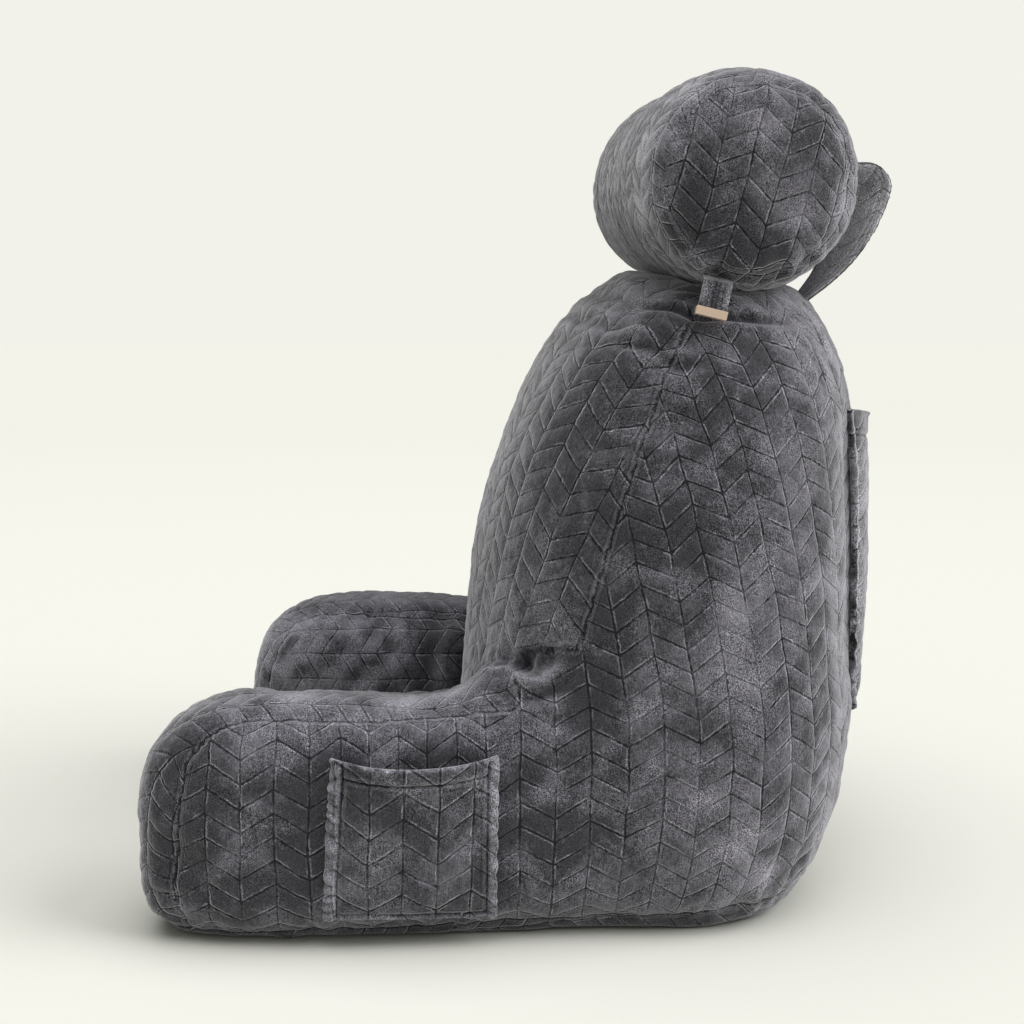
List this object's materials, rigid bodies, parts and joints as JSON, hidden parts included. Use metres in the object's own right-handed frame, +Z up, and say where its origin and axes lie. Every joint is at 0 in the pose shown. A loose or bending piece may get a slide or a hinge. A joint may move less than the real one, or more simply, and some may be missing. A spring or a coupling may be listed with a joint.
{
  "type": "reading pillow with arms",
  "caption": "Filled plush backrest with two arms, a neck roll held on top by a strap, a side tab with a metal end, an arm pocket and a large back pocket.",
  "frame": {"origin": "on the flat base, under the middle of the backrest", "axes": "+Z up, the sitter's side and the arms face -Y, +X towards the arm with the pocket"},
  "size_m": [0.5751, 0.6426, 0.7408],
  "materials": {
    "plush": "charcoal grey short-pile plush, embossed in columns of slanted cells",
    "pale_gold_metal": "satin pale gold"
  },
  "bodies": {
    "root": {"body": "plush", "neck_roll": "plush", "roll_strap": "plush", "side_tab": "plush", "arm_pocket": "plush", "back_pocket": "plush", "tab_clip": "pale_gold_metal"}
  },
  "joints": []
}
